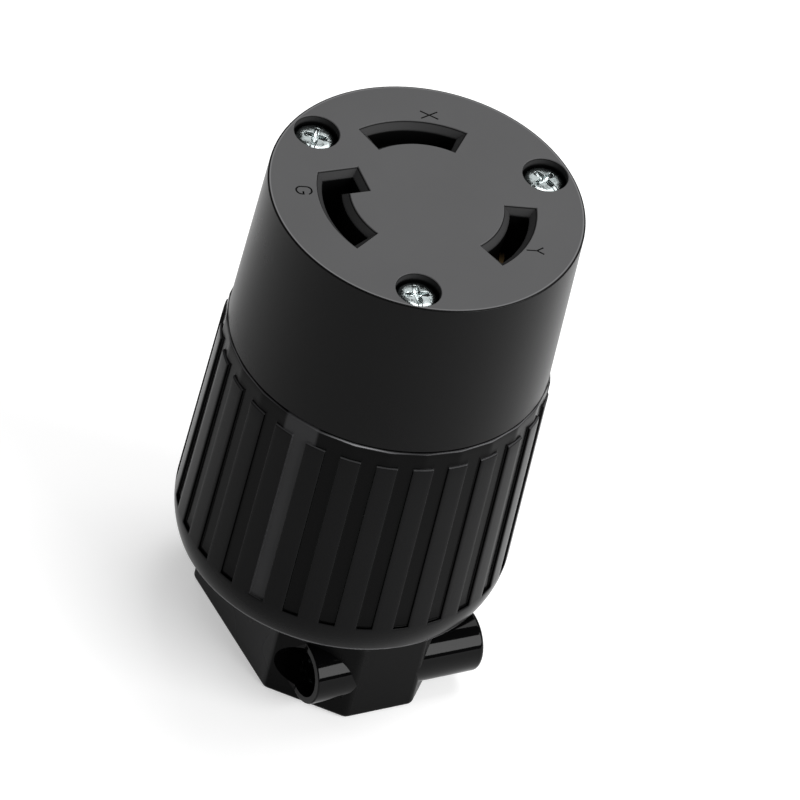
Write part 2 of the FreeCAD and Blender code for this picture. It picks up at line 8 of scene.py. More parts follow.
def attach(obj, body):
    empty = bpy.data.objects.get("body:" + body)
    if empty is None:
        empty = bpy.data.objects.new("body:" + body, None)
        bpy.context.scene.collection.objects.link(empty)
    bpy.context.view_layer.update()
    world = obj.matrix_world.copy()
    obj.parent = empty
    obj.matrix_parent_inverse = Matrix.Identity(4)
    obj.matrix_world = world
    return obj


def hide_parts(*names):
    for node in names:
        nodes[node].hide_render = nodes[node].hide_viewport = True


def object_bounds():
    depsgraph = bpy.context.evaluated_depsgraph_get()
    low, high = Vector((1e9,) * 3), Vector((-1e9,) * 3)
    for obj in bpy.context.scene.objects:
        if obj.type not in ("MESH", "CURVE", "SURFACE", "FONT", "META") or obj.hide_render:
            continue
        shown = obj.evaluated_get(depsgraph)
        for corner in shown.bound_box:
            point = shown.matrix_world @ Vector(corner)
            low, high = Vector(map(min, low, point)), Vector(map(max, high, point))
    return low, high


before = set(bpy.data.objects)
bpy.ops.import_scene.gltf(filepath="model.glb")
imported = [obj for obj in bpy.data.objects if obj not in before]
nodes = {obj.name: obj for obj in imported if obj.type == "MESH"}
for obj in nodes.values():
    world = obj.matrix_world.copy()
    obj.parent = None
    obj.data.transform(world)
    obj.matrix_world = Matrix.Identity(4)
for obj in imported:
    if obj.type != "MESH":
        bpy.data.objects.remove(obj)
cad_low, cad_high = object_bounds()


# Rear shell, its barrel: polished black nylon, moulded with 28 flat-floored grooves
# between ribs, a rounded band under them and a faceted collar at the joint. Every
# edge is rounded as the mould leaves it.
mm = 0.001
rim_z = 17.7
waist_z = 23.5
rib_end_z = 58.4
joint_z = 61.6
rim_radius = 25.75
rib_base_radius = 27.1
rib_top_radius = 26.6
rib_height = 0.5
rib_count = 28
groove_half = 1.25
edge_round = 0.18
floor_round = 0.12
rib_end_round = 0.4
rim_round = 0.15
collar_round = 0.45
hair = 0.0005
lip = (0.3, 0.05)
band_rows = 13
rib_rows = 14
collar_rows = 4
reflection_facet = 16
crest_tone = 1.0
floor_painted_shade = 0.3
facet_painted_reflection = 5.6
wall_painted_shade = 0.04
shaded_wall_width = 0.02
painted_highlight_tone = {"collar": 34.0, "rib_end": 7.0, "rim": 44.0}
rim_highlight_width = 0.28
highlight_line = {"collar": (0.2, 0.14), "rib_end": (0.1, 0.12)}
collar_bead = (0.12, 0.9, 0.3)
collar_highlight_arcs = ((-186, 24, 0.6), (-127, 11, 1.6), (-76, 30, 0.5))


def rounded(distance, size):
    """The drop of a quarter-round edge: size times one less the root of one less the
    square of the share still left to the edge, and nought further in than its size."""
    left = np.clip(1 - distance / size, 0, 1)
    return size * (1 - np.sqrt(1 - left ** 2))


def crest_radius(z):
    """The ribs' radius, in a straight taper up from the waist, and under it the band's:
    a circular arc that leaves the waist upright and ends at the rim."""
    share = (z - waist_z) / (rib_end_z - waist_z)
    straight = rib_base_radius + (rib_top_radius - rib_base_radius) * share
    inset = rib_base_radius - rim_radius
    bow = ((waist_z - rim_z) ** 2 + inset ** 2) / (2 * inset)
    below = np.clip(waist_z - z, 0, None)
    return np.where(z < waist_z, rib_base_radius - bow + np.sqrt(bow ** 2 - below ** 2), straight)


def floor_reach(z):
    """How far the flat groove floors, and the collar's facets in line with them, stand
    from the axis: the straight taper less the ribs' height."""
    share = (np.maximum(z, waist_z) - waist_z) / (rib_end_z - waist_z)
    return rib_base_radius + (rib_top_radius - rib_base_radius) * share - rib_height


def grid_faces(rows, columns, around=True):
    """Quads between neighbouring rows and columns, the last column joined to the first."""
    here = np.arange(rows * columns).reshape(rows, columns)
    if around:
        here = np.concatenate((here, here[:, :1]), axis=1)
    corners = (here[:-1, :-1], here[:-1, 1:], here[1:, 1:], here[1:, :-1])
    return np.stack([corner.ravel() for corner in corners], axis=1)


def piece(name, points, faces, body="connector"):
    """A smooth mesh object of the given points in millimetres, riding on a body."""
    mesh = bpy.data.meshes.new(name)
    mesh.from_pydata((points * mm).tolist(), [], faces)
    mesh.polygons.foreach_set("use_smooth", np.ones(len(mesh.polygons), bool))
    thing = bpy.data.objects.new(name, mesh)
    bpy.context.scene.collection.objects.link(thing)
    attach(thing, body)
    return thing


def point_value(thing, name, values):
    """Stores one number for each point of a piece, for its material to read."""
    store = thing.data.attributes.new(name, "FLOAT", "POINT")
    store.data.foreach_set("value", np.asarray(values, np.float32).ravel())


floor_steps = np.array([1, 0.55, 0.25, 0.08])
edge_steps = np.array([0.05, 0.18, 0.45, 1])
rim_steps = np.array([0, 0.05, 0.18, 0.45, 1])
rib_end_steps = np.array([1, 0.8, 0.62, 0.45, 0.3, 0.18, 0.09, 0.03])
collar_steps = np.array([1, 0.8, 0.6, 0.45, 0.3, 0.18, 0.09, 0.03, 0])
floor_columns = [0, 0.45, 0.85]
crest_columns = np.array([[0.33, 0.66, 1]])
over_edge = np.concatenate((-floor_round * floor_steps, [-hair, hair], edge_round * edge_steps))

# The rows of points go up the barrel from its rim to the joint, and the columns across
# one groove and half of each rib beside it. Both are closest where an edge is rounded.
z = np.concatenate((
    rim_z + rim_round * rim_steps,
    np.linspace(rim_z + rim_round, waist_z - edge_round, band_rows)[1:-1],
    (waist_z - over_edge)[::-1],
    np.linspace(waist_z + floor_round, rib_end_z - rib_end_round, rib_rows)[1:-1],
    rib_end_z - rib_end_round * rib_end_steps,
    (rib_end_z - over_edge[:len(floor_steps) + 2])[::-1],
    np.linspace(rib_end_z + floor_round, joint_z - collar_round, collar_rows)[1:-1],
    joint_z - collar_round * collar_steps,
))[:, None]
aside = np.concatenate((floor_columns, groove_half + over_edge))[None, :]
half_pitch = math.pi / rib_count
near = np.arctan(aside / floor_reach(z))
over_rib = near[:, -1:] + (half_pitch - near[:, -1:]) * crest_columns
half = np.concatenate((near, over_rib), axis=1)
turn = np.concatenate((-half[:, :0:-1], half[:, :-1]), axis=1)

# A point is raised by its distance into a rib's or the band's outline, which is below
# nought on the groove's floor. Crests drop towards that outline, and floors rise to it.
sideways = floor_reach(z) * np.tan(np.abs(turn))
raised = np.maximum(np.minimum(sideways - groove_half, rib_end_z - z), waist_z - z)
end_drop = rounded(rib_end_z - z, rib_end_round) * (z < rib_end_z)
on_crest = crest_radius(z) - np.maximum(rounded(raised, edge_round), end_drop)
on_crest = np.where(z > waist_z, np.maximum(on_crest, floor_reach(z) / np.cos(turn)), on_crest)
on_floor = floor_reach(z) / np.cos(turn) + rounded(-raised, floor_round)
radius = np.where(raised > 0, on_crest, on_floor)
radius = radius - rounded(z - rim_z, rim_round) - rounded(joint_z - z, collar_round)
down = joint_z - z
bead = floor_reach(joint_z) - collar_bead[0] + collar_bead[1] * down - rounded(down, collar_bead[2])
radius = np.minimum(radius, bead)

# The polish's colour is multiplied by painted light from the form: the crests as they are,
# painted shade on the groove floors, darker painted shade at the foot of each rib, and
# painted highlights where the edges are rounded.
painted_light_tone = np.where(raised > 0, crest_tone, floor_painted_shade)
painted_light_tone = np.where(np.abs(raised) < shaded_wall_width, wall_painted_shade, painted_light_tone)


def highlight_share(under, line):
    """How much painted highlight a height gets: one on a line so far under an edge, and
    evenly less to nought at the line's half width."""
    return np.clip(1 - np.abs(under - line[0]) / line[1], 0, 1)


# Painted highlight lines on the rounded edges: along the collar's round, on the rib ends' rounds and
# along the rim.
painted_highlights = {
    "collar": highlight_share(down, highlight_line["collar"]) * np.ones_like(painted_light_tone),
    "rib_end": highlight_share(rib_end_z - z, highlight_line["rib_end"]) * (raised > 0),
    "rim": np.clip(1 - (z - rim_z) / rim_highlight_width, 0, 1) * np.ones_like(painted_light_tone),
}

# A lip turns in at each end, and the one groove is repeated round the barrel.
radius = np.concatenate((radius[:1] - lip[0], radius, radius[-1:] - lip[0]))
turn = np.concatenate((turn[:1], turn, turn[-1:]))
painted_light_tone = np.concatenate((painted_light_tone[:1], painted_light_tone, painted_light_tone[-1:]))
z = np.concatenate((z[:1] + lip[1], z, z[-1:] - lip[1]))
groove = np.arange(rib_count)[None, :, None]
angle = (groove + 0.5) * 2 * half_pitch + turn[:, None, :]
painted_light_tone = np.repeat(painted_light_tone[:, None, :], rib_count, axis=1)
# One groove floor and the collar facet in line with it get a painted paler reflection, several times
# the crests' colour.
painted_light_tone[:, reflection_facet] = np.where(painted_light_tone[:, reflection_facet] < crest_tone, facet_painted_reflection, crest_tone)
# The collar's painted highlight is strongest in three arcs round the barrel, the brightest on the side
# toward the camera.
collar_highlight = sum(
    weight * np.exp(-((((np.degrees(angle) - middle + 180) % 360) - 180) / width) ** 2)
    for middle, width, weight in collar_highlight_arcs)
for place_name, share in painted_highlights.items():
    share = np.concatenate((share[:1], share, share[-1:]))[:, None, :]
    if place_name == "collar":
        share = share * collar_highlight
    painted_light_tone = painted_light_tone + share * painted_highlight_tone[place_name]
radius = np.repeat(radius[:, None, :], rib_count, axis=1)
level = np.broadcast_to(z[:, :, None], radius.shape)
points = np.stack((radius * np.cos(angle), radius * np.sin(angle), level), axis=-1).reshape(-1, 3)
shell_barrel = piece("shell_barrel", points, grid_faces(len(z), rib_count * turn.shape[1]).tolist())
# The barrel's painted shade and highlights are stored on its points for its material.
point_value(shell_barrel, "painted_light_tone", painted_light_tone)


def node_of(tree, kind, **values):
    """Adds one shader node and writes the given values on its sockets."""
    node = tree.nodes.new(kind)
    for socket, value in values.items():
        node.inputs[socket.replace("_", " ")].default_value = value
    return node


def fresh(name):
    """A new material: its node tree, its shader, and the place on the piece."""
    material = bpy.data.materials.new(name)
    material.use_nodes = True
    tree = material.node_tree
    place = tree.nodes.new("ShaderNodeTexCoord").outputs["Object"]
    return material, tree, tree.nodes["Principled BSDF"], place


def spread(tree, source, low, high):
    """Spreads a pattern's nought to one between two values."""
    node = node_of(tree, "ShaderNodeMapRange", To_Min=low, To_Max=high)
    tree.links.new(source, node.inputs["Value"])
    return node.outputs["Result"]


def blend_colour(tree, share, low, high):
    """A colour between two others, by a share."""
    node = tree.nodes.new("ShaderNodeMix")
    node.data_type = "RGBA"
    for socket, colour in (("A", low), ("B", high)):
        if isinstance(colour, tuple):
            node.inputs[socket].default_value = (*colour, 1)
        else:
            tree.links.new(colour, node.inputs[socket])
    tree.links.new(share, node.inputs["Factor"])
    return node.outputs["Result"]


def bumps(tree, shader, layers):
    """Lays bump maps on each other: pairs of a pattern and its depth in metres."""
    under = None
    for height, depth in layers:
        node = node_of(tree, "ShaderNodeBump", Strength=1.0, Distance=depth)
        tree.links.new(height, node.inputs["Height"])
        if under is not None:
            tree.links.new(under, node.inputs["Normal"])
        under = node.outputs["Normal"]
    tree.links.new(under, shader.inputs["Normal"])


def noise(tree, place, size, detail=3.0, rough=0.55):
    """A cloudy pattern whose features are about the given size, in metres."""
    node = node_of(tree, "ShaderNodeTexNoise", Scale=1 / size, Detail=detail, Roughness=rough)
    tree.links.new(place, node.inputs["Vector"])
    return node.outputs["Fac"]


def uneven_colour(tree, cloud, colour, shares):
    """A colour that a cloud pattern carries between two shares of itself."""
    darker, paler = (tuple(share * part for part in colour) for share in shares)
    return blend_colour(tree, cloud, darker, paler)


def scaled_colour(tree, colour, factor):
    """A colour multiplied by a value."""
    node = tree.nodes.new("ShaderNodeVectorMath")
    node.operation = "SCALE"
    tree.links.new(colour, node.inputs[0])
    tree.links.new(factor, node.inputs["Scale"])
    return node.outputs["Vector"]


def stored_value(tree, name):
    """A number stored on the piece's points."""
    stored = tree.nodes.new("ShaderNodeAttribute")
    stored.attribute_name = name
    return stored.outputs["Fac"]


def moulded(name, colour, roughness, specular, grain, ripple, painted_light_tone=None):
    """A moulded plastic: fine grain, a slow ripple where it sank in the mould, and a
    slight unevenness in colour and gloss. Grain is a size and a depth in metres, and
    ripple is a depth. The last argument names a stored number of painted shade and
    highlight that the colour is multiplied by."""
    cloud_size, ripple_size = 0.022, 0.008
    colour_shares = (0.84, 1.18)
    gloss_low, gloss_high = 0.86 * roughness, 1.14 * roughness
    material, tree, shader, place = fresh(name)
    shader.inputs["Specular IOR Level"].default_value = specular
    shader.inputs["IOR"].default_value = 1.5
    cloud = noise(tree, place, cloud_size)
    shade = uneven_colour(tree, cloud, colour, colour_shares)
    if painted_light_tone:
        shade = scaled_colour(tree, shade, stored_value(tree, painted_light_tone))
    tree.links.new(shade, shader.inputs["Base Color"])
    tree.links.new(spread(tree, cloud, gloss_low, gloss_high), shader.inputs["Roughness"])
    fine = noise(tree, place, grain[0], detail=4.0, rough=0.6)
    slow = noise(tree, place, ripple_size, detail=2.0, rough=0.5)
    bumps(tree, shader, [(slow, ripple), (fine, grain[1])])
    return material, tree, shader, place


polished_nylon = moulded(
    "polished_nylon", (0.0062, 0.0062, 0.0064), roughness=0.2, specular=0.045,
    grain=(0.0004, 0.000003), ripple=0.000012, painted_light_tone="painted_light_tone")[0]
shell_barrel.data.materials.append(polished_nylon)
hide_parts("rear_shell")

# Rear shell, its neck and screw tubes, and all its inside: the same moulding, as the
# solid has it, drawn in where the barrel's rounded rim meets it. The tubes come bright
# from polished cores, and one flat of the neck has a painted paler reflection.
solid = nodes["rear_shell"].data
places = np.empty(len(solid.vertices) * 3, np.float32)
solid.vertices.foreach_get("co", places)
places = places.reshape(-1, 3).astype(float) / mm
corners = np.empty(len(solid.loops), np.int32)
solid.loops.foreach_get("vertex_index", corners)
corners = corners.reshape(-1, 3)
slopes = np.empty(len(solid.loops) * 3, np.float32)
solid.corner_normals.foreach_get("vector", slopes)
slopes = slopes.reshape(-1, 3, 3)
touch = 0.003
rim_band = 0.85
edge_band = 0.05
tube_skin = 0.01
out = np.hypot(places[:, 0], places[:, 1])
on_joint = np.abs(places[:, 2] - joint_z) < touch
on_rim = np.abs(places[:, 2] - rim_z) < touch
middle = places[corners].mean(axis=1)
beyond = np.hypot(middle[:, 0], middle[:, 1]) > rim_radius - rim_band
between = (places[:, 2] > rim_z - touch) & (places[:, 2] < joint_z + touch)
flat_end = on_joint[corners].all(axis=1) | on_rim[corners].all(axis=1)
barrel_side = beyond & between[corners].all(axis=1) & ~flat_end
rim_edge = on_rim & (out > rim_radius - edge_band)
places[rim_edge, :2] *= 1 - rim_round / rim_radius
tube_axis_y = 17.45
tube_axis_z = 7.25
tube_radius = 5.35
reflecting_flat_from_to = (-15.75, -15.6)
flat_reflection_tone = 8.0
from_tube = np.hypot(np.abs(places[:, 1]) - tube_axis_y, places[:, 2] - tube_axis_z)
tube_side = (from_tube < tube_radius + tube_skin)[corners].all(axis=1)


def carried_over(name, chosen):
    """A piece of the chosen triangles of the solid, with its points merged and its own
    normals kept on their corners."""
    decimals = 4
    loose = np.round(places[corners[chosen]].reshape(-1, 3), decimals)
    merged, index = np.unique(loose, axis=0, return_inverse=True)
    index = index.reshape(-1, 3)
    whole = (index != np.roll(index, -1, axis=1)).all(axis=1)
    thing = piece(name, merged, index[whole].tolist())
    thing.data.normals_split_custom_set(slopes[chosen][whole].reshape(-1, 3).tolist())
    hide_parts("rear_shell")
    return thing


def split_place(tree, place):
    """The place on the piece, taken apart along its three axes."""
    axes = tree.nodes.new("ShaderNodeSeparateXYZ")
    tree.links.new(place, axes.inputs["Vector"])
    return axes.outputs


def ramp_between(tree, source, low, high, start, end):
    """A value that goes evenly from one number to another between two places in
    millimetres."""
    node = node_of(
        tree, "ShaderNodeMapRange", From_Min=low * mm, From_Max=high * mm, To_Min=start, To_Max=end)
    tree.links.new(source, node.inputs["Value"])
    return node.outputs["Result"]


shell_neck = carried_over("shell_neck", ~barrel_side & ~tube_side)
neck_nylon, tree, shader, place = moulded(
    "neck_nylon", (0.0035, 0.0035, 0.0036), roughness=0.28, specular=0.05,
    grain=(0.0003, 0.000004), ripple=0.00001)
# The neck's flat facing -X is painted eight times paler: a painted reflection.
flat_painted_reflection = ramp_between(tree, split_place(tree, place)["X"], *reflecting_flat_from_to, flat_reflection_tone, 1.0)
plain = shader.inputs["Base Color"].links[0].from_socket
tree.links.new(scaled_colour(tree, plain, flat_painted_reflection), shader.inputs["Base Color"])
shell_neck.data.materials.append(neck_nylon)
screw_tubes = carried_over("screw_tubes", ~barrel_side & tube_side)
tube_nylon = moulded(
    "tube_nylon", (0.0015, 0.0015, 0.0016), roughness=0.06, specular=0.13,
    grain=(0.0005, 0.000001), ripple=0.000003)[0]
screw_tubes.data.materials.append(tube_nylon)


# Front housing: the cup with the slotted face, in the same nylon out of a spark-eroded
# mould, so its side is satin and its flat face a dry grey matt, whose grey is partly
# that finish and partly painted top light. Its rim has a painted highlight, and the
# slots and the sunk terminal marks have painted shade inside.
def finish_node(name, material):
    """Gives a node its finish in every material slot that it has."""
    for slot in nodes[name].material_slots:
        slot.material = material


face_z = 92.3
satin_side = (0.003, 0.003, 0.0031)
matt_and_lit_face = (0.086, 0.086, 0.0875)
face_cloud = 0.016
face_uneven = (0.92, 1.08)
face_roughness = (0.52, 0.6)
edge_radii = (24.95, 25.06, 25.16, 25.26)
edge_highlight_share = (1.0, 1.75)
slot_shade_depths = (90.9, 91.35)
sunk_painted_shade = 0.34
mark_painted_shade = 0.03
under_marks = (92.03, 92.07)
over_marks = (92.14, 92.26)
satin_nylon, tree, shader, place = moulded(
    "satin_nylon", satin_side, roughness=0.28, specular=0.085,
    grain=(0.00022, 0.000008), ripple=0.00001)


def worked_out(tree, operation, first, second):
    """Two values put together by the named operation: their sum, their product or the
    larger of them. The second is another node's value or a number."""
    node = tree.nodes.new("ShaderNodeMath")
    node.operation = operation
    tree.links.new(first, node.inputs[0])
    if isinstance(second, float):
        node.inputs[1].default_value = second
    else:
        tree.links.new(second, node.inputs[1])
    return node.outputs[0]


along = split_place(tree, place)
flat_place = tree.nodes.new("ShaderNodeCombineXYZ")
tree.links.new(along["X"], flat_place.inputs["X"])
tree.links.new(along["Y"], flat_place.inputs["Y"])
from_axis = tree.nodes.new("ShaderNodeVectorMath")
from_axis.operation = "LENGTH"
tree.links.new(flat_place.outputs["Vector"], from_axis.inputs[0])
radius_out = from_axis.outputs["Value"]
face_end, highlight_start, highlight_end, side_start = edge_radii
# A painted highlight line runs round just inside the face's rim, up to 1.75 times the face's grey.
edge_painted_highlight = ramp_between(tree, radius_out, face_end, highlight_start, *edge_highlight_share)
# Painted shade below the face: the slot lead-ins and pockets a third of the face's grey, the floors of
# the sunk marks nearly black.
shade_in_marks = ramp_between(tree, along["Z"], *under_marks, sunk_painted_shade, mark_painted_shade)
shade_over_marks = ramp_between(tree, along["Z"], *over_marks, mark_painted_shade, 1.0)
painted_sunk_shade = worked_out(tree, "MAXIMUM", shade_in_marks, shade_over_marks)
painted_edge_and_sunk_shade = worked_out(tree, "MULTIPLY", edge_painted_highlight, painted_sunk_shade)
inside_edge = ramp_between(tree, radius_out, highlight_end, side_start, 1.0, 0.0)
# Painted shade down the slots and pockets: deeper in they take the dark side's colour.
painted_slot_shade = ramp_between(tree, along["Z"], *slot_shade_depths, 0.0, 1.0)
on_face = worked_out(tree, "MULTIPLY", inside_edge, painted_slot_shade)
cloud = noise(tree, place, face_cloud)
# The face's colour: partly its matt finish and partly painted top light.
matt_lit_face_colour = scaled_colour(tree, uneven_colour(tree, cloud, matt_and_lit_face, face_uneven), painted_edge_and_sunk_shade)
side_shade = shader.inputs["Base Color"].links[0].from_socket
tree.links.new(blend_colour(tree, on_face, side_shade, matt_lit_face_colour), shader.inputs["Base Color"])
sheen = tree.nodes.new("ShaderNodeMix")
tree.links.new(on_face, sheen.inputs["Factor"])
tree.links.new(shader.inputs["Roughness"].links[0].from_socket, sheen.inputs["A"])
tree.links.new(spread(tree, cloud, *face_roughness), sheen.inputs["B"])
tree.links.new(sheen.outputs["Result"], shader.inputs["Roughness"])
finish_node("front_housing", satin_nylon)

# Cord clamp jaw: a separate moulding inside the neck, in satin nylon. Its two brass
# inserts are pressed in, and the clamp screws in the tubes draw it onto the cord.
jaw_nylon = moulded(
    "jaw_nylon", (0.014, 0.014, 0.0145), roughness=0.38, specular=0.3,
    grain=(0.0003, 0.000008), ripple=0.00001)[0]
finish_node("cord_clamp_jaw", jaw_nylon)

# Contact carrier: the insulating block that holds the contacts behind the face. It is
# moulded in a matt thermoset, clamped between the two housings, and seen only down
# the slots.
carrier_plastic = moulded(
    "carrier_plastic", (0.006, 0.006, 0.006), roughness=0.6, specular=0.1,
    grain=(0.0003, 0.00001), ripple=0.00001)[0]
finish_node("contact_carrier", carrier_plastic)


# Screws: pan heads with a cross recess. Three of zinc plated steel hold the mouldings
# together and two more work the cord clamp. Each terminal has one that works its wire
# clamp, of brass, and for the ground dyed green.
def turned_metal(name, dark, light):
    """A turned and finished metal between two colours: faint turning rings, a dull bloom,
    and a painted highlight in the cross recess, from the distance to the screw's own axis
    and the depth under its head."""
    bloom_size, bloom_depth = 0.0014, 0.0001
    ring_rate, ring_depth = 48.0, 0.0000006
    gloss_low, gloss_high = 0.1, 0.28
    material, tree, shader, place = fresh(name)
    shader.inputs["Metallic"].default_value = 1.0
    bloom = noise(tree, place, bloom_size, detail=3.0, rough=0.5)
    shade = scaled_colour(tree, blend_colour(tree, bloom, dark, light), stored_value(tree, "painted_recess_light"))
    tree.links.new(shade, shader.inputs["Base Color"])
    tree.links.new(spread(tree, bloom, gloss_low, gloss_high), shader.inputs["Roughness"])
    wave = tree.nodes.new("ShaderNodeMath")
    wave.operation = "SINE"
    rings = worked_out(tree, "MULTIPLY", stored_value(tree, "off_axis"), ring_rate)
    tree.links.new(rings, wave.inputs[0])
    bumps(tree, shader, [(wave.outputs[0], ring_depth), (bloom, bloom_depth)])
    return material


screw_zinc = turned_metal("screw_zinc", (0.20, 0.23, 0.23), (0.44, 0.48, 0.48))
terminal_brass = turned_metal("terminal_brass", (0.27, 0.18, 0.07), (0.46, 0.32, 0.14))
ground_green = turned_metal("ground_green", (0.03, 0.11, 0.05), (0.06, 0.20, 0.09))
recess_half = 0.48
recess_reach = 1.95
recess_depth = 0.7
recess_wall = 0.16
recess_painted_light = 1.0
recess_flat = 0.85
recess_rise = 0.7
edge_limit = 0.64
least_distance = 0.6
arm_columns = np.array([[0, 0.4, 0.75]])
wall_columns = np.array([[-1, -0.45, -0.1, 0.25]])
between_arms = np.array([[0.3, 0.65, 1]])
dome_power = 2.6
shoulder_share = 0.45
row_step = 0.15
row_gap = 0.05
reach_rows = (-0.02, 0.04)
dome_rows = 4
dome_from_to = (0.2, 0.86)
dome_edge = np.array([0.91, 0.95, 0.975, 0.992, 1])
under_head = ((-0.05, 0.04), (-0.15, 0))
neck_of_shank = ((0.15, 0), (0.02, -0.06), (0, -0.25))
tip = ((-0.3, 0.08), (-0.4, 0))
thread_pitch = 0.8
thread_depth = 0.32
thread_turns = 9
threaded_share = 0.8
rows_a_turn = 5
tip_length = 0.5
thread_end = 0.4
least_core = 0.5
head_side = 0.14


def pole_faces(rows, columns):
    """Faces of a surface whose first and last rows are one point each: quads between
    the rows of points, and a fan of triangles round each pole."""
    ring = np.arange(columns)
    after = (ring + 1) % columns
    quads = grid_faces(rows - 2, columns)[:, ::-1] + 1
    last = (rows - 2) * columns + 1
    foot = last - columns
    first_fan = np.stack((ring + 1, after + 1, np.zeros_like(ring)), axis=1)
    last_fan = np.stack((np.full_like(ring, last), foot + after, foot + ring), axis=1)
    return quads.tolist() + first_fan.tolist() + last_fan.tolist()


def one_point_ends(values):
    """The values of a surface's points, row by row, with one point for each end row."""
    return np.concatenate((values[0, :1], values[1:-1].reshape(-1, *values.shape[2:]), values[-1, :1]))


def cross_turns(distance):
    """Angles of a head's points in one eighth turn, from an arm's middle line to the
    line between two arms, with a close pair of them along the arm's edge: the edge
    stands at the arc sine of half the arm's width over the distance from the axis."""
    edge = np.arcsin(np.clip(recess_half / np.maximum(distance, recess_half), 0, edge_limit))
    width = recess_wall / np.maximum(distance, least_distance)
    close = edge + width * wall_columns
    outer = edge + width * wall_columns[0, -1]
    outer = outer + (math.pi / 4 - edge - width * wall_columns[0, -1]) * between_arms
    return np.concatenate((edge * arm_columns, close, outer), axis=1)


def screw(name, node, seat, way, turned, size, finish=(screw_zinc, "screw_zinc")):
    """A pan head screw in place of a node. Its size is the shank's radius and length and
    the head's radius and height. The head is a superellipse dome over a short upright
    side, less a cross whose arms' floors rise outwards to nought at their reach. The
    shank's lower part has a helical thread, a triangle wave of height plus turn, and its
    tip tapers."""
    shank, length, head, head_height = size
    shoulder = head_height * shoulder_share
    rise = head_height - shoulder
    off = np.concatenate((
        [0], np.arange(row_step, recess_reach - row_gap, row_step),
        [recess_reach + past for past in reach_rows],
        np.linspace(recess_reach + dome_from_to[0], head * dome_from_to[1], dome_rows),
        head * dome_edge,
    ))
    dome = shoulder + rise * np.clip(1 - (off / head) ** dome_power, 0, 1) ** (1 / dome_power)
    side = [(head, shoulder * 0.5), (head, head_side)]
    side += [(head + past, up) for past, up in under_head]
    side += [(shank + past, up) for past, up in neck_of_shank]
    threaded = min(length * threaded_share, thread_turns * thread_pitch)
    turns_down = np.arange(-(length - threaded), -(length - tip_length), -thread_pitch / rows_a_turn)
    shaft = [(shank, down) for down in turns_down]
    shaft += [(shank + past, -length + up) for past, up in tip] + [(0, -length)]
    outline = np.array(side + shaft)
    distance = np.concatenate((off, outline[:, 0]))[:, None]
    height = np.concatenate((dome, outline[:, 1]))[:, None]
    eighth = cross_turns(np.minimum(distance, head))
    quarter = np.concatenate((eighth, math.pi / 2 - eighth[:, -2:0:-1]), axis=1)
    around = np.concatenate([quarter + side_turn * math.pi / 2 for side_turn in range(4)], axis=1)
    x = distance * np.cos(around)
    y = distance * np.sin(around)
    across = np.minimum(np.abs(x), np.abs(y))
    inside = np.clip((recess_half - across) / recess_wall, 0, 1)
    climb = np.clip((recess_reach - distance) / (recess_reach - recess_flat), 0, 1) ** recess_rise
    on_head = np.arange(len(distance))[:, None] < len(off)
    sunk = np.where(on_head, inside * climb, 0) * recess_depth
    wave = np.abs(((height / thread_pitch + around / (2 * math.pi)) % 1) * 2 - 1)
    in_thread = (height < -(length - threaded)) & (height > -length + thread_end)
    shrink = np.where(in_thread, thread_depth * (1 - wave), 0) / np.maximum(distance, least_core)
    local = one_point_ends(np.stack((x * (1 - shrink), y * (1 - shrink), height - sunk), axis=-1))
    turn = Matrix.Rotation(math.radians(turned), 3, "Z")
    frame_turn = Vector(way).to_track_quat("Z", "Y").to_matrix() @ turn
    points = local @ np.array(frame_turn).T + np.array(seat)
    thing = piece(name, points, pole_faces(*x.shape))
    point_value(thing, "off_axis", one_point_ends(np.broadcast_to(distance, x.shape)))
    # The cross recess is painted up to twice as bright: a painted highlight.
    point_value(thing, "painted_recess_light", one_point_ends(1 + recess_painted_light * np.clip(sunk / recess_depth, 0, 1)))
    thing.data.materials.append(finish[0])
    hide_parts(node)


def spoke(radius, degrees, z):
    """The point at a radius, an angle and a height."""
    return (radius * math.cos(math.radians(degrees)), radius * math.sin(math.radians(degrees)), z)


screw_circle = 21.2
pocket_depth = 2.9
housing_screw = (1.75, 35, 3.3, 2.0)
for letter, angle, turned in (("a", 0, 20), ("b", 120, 52), ("c", 240, -14)):
    seat = spoke(screw_circle, angle, face_z - pocket_depth)
    screw("housing_screw_" + letter, "assembly_screw_" + letter, seat, (0, 0, 1), turned, housing_screw)
clamp_seat_x = -5.5
cord_screw = (2.0, 18, 3.7, 2.6)
for side, sign, turned in (("front", -1, 25), ("back", 1, 60)):
    seat = (clamp_seat_x, sign * tube_axis_y, tube_axis_z)
    screw("cord_screw_" + side, "clamp_screw_" + side, seat, (-1, 0, 0), turned, cord_screw)
terminal_screw_z = 55.6
terminal_seat = 18.1
wire_screw = (1.75, 7.8, 3.3, 1.9)
wire_screw_turned = 35
brass = (terminal_brass, "terminal_brass")
green = (ground_green, "ground_green")
for key, angle, finish in (("x", 60, brass), ("y", -60, brass), ("ground", 180, green)):
    seat = spoke(terminal_seat, angle, terminal_screw_z)
    outwards = spoke(1, angle, 0)
    screw(
        "wire_screw_" + key, "terminal_screw_" + key, seat, outwards, wire_screw_turned, wire_screw,
        finish)


